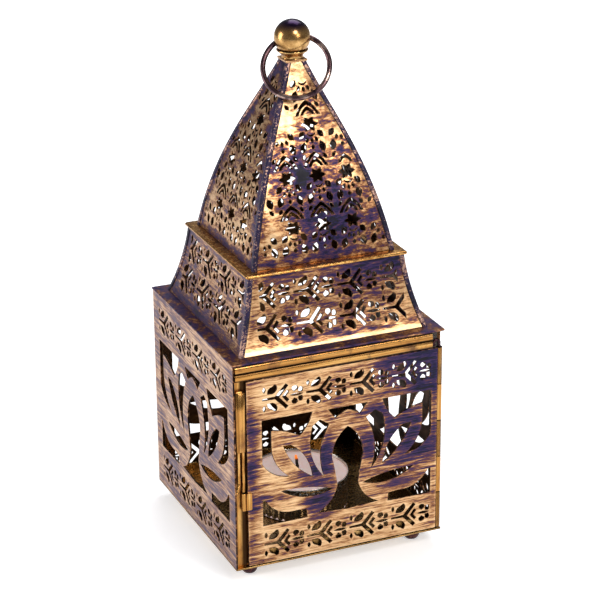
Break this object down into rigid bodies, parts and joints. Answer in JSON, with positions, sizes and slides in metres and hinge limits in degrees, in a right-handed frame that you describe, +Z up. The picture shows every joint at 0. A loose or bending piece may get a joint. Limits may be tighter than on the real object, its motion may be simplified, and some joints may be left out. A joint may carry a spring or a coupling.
{
  "type": "lantern",
  "caption": "Pierced sheet-metal lantern: square box with a hinged door and wire latch, flared tier, curved pyramid roof, ball finial, hanging ring and a tealight.",
  "frame": {"origin": "middle of the square footprint, on the floor under the feet", "axes": "+Z up the lantern; the door faces -Y; its hinge is at +X and its latch at -X"},
  "size_m": [0.0848, 0.0866, 0.2006],
  "materials": {
    "antique_gold_sheet": "gold paint dry-brushed over indigo and purple, satin",
    "warm_gold_metal": "polished and lightly aged",
    "indigo_seam": "indigo paint rubbed through to gold along the crest",
    "dark_bronze_wire": "dark bronze, half gloss",
    "bare_tin": "thin pressed foil",
    "candle_wax": "smooth candle wax, slightly translucent",
    "charred_wick": "charred braid"
  },
  "bodies": {
    "lantern": {"base_tray": "warm_gold_metal", "feet": "dark_bronze_wire", "left_panel": "antique_gold_sheet", "right_panel": "antique_gold_sheet", "back_panel": "antique_gold_sheet", "latch_stile": "warm_gold_metal", "hinge_stile": "warm_gold_metal", "back_left_post": "warm_gold_metal", "back_right_post": "warm_gold_metal", "top_rail": "warm_gold_metal", "deck_plate": "antique_gold_sheet", "hinge_pin": "dark_bronze_wire", "latch_guide": "warm_gold_metal", "tier_front": "antique_gold_sheet", "tier_left": "antique_gold_sheet", "tier_back": "antique_gold_sheet", "tier_right": "antique_gold_sheet", "tier_seams": "indigo_seam", "tier_rim": "warm_gold_metal", "roof_front": "antique_gold_sheet", "roof_left": "antique_gold_sheet", "roof_back": "antique_gold_sheet", "roof_right": "antique_gold_sheet", "roof_ribs": "indigo_seam", "roof_cap": "antique_gold_sheet", "neck_collar": "warm_gold_metal", "finial_stem": "dark_bronze_wire", "finial_ball": "warm_gold_metal"},
    "door": {"door_panel": "antique_gold_sheet", "latch_keeper": "warm_gold_metal"},
    "bolt": {"latch_bolt": "dark_bronze_wire"},
    "ring": {"hanging_ring": "dark_bronze_wire"},
    "tealight": {"tealight_cup": "bare_tin", "tealight_wax": "candle_wax", "tealight_wick": "charred_wick"}
  },
  "joints": [
    {"name": "door_hinge", "type": "hinge", "parent": "lantern", "child": "door", "pos_m": [0.04075, -0.04075, 0.045], "axis": [0, 0, 1], "range_deg": [0, 110]},
    {"name": "latch_slide", "type": "slide", "parent": "lantern", "child": "bolt", "axis": [0, 0, -1], "range_m": [0, 0.008]},
    {"name": "ring_swing", "type": "hinge", "parent": "lantern", "child": "ring", "pos_m": [0, 0, 0.1928], "axis": [-0.9158, 0.37, -0.1564], "range_deg": [0, 287]},
    {"name": "tealight_lift", "type": "slide", "parent": "lantern", "child": "tealight", "axis": [0, 0, 1], "range_m": [0, 0.03]}
  ]
}
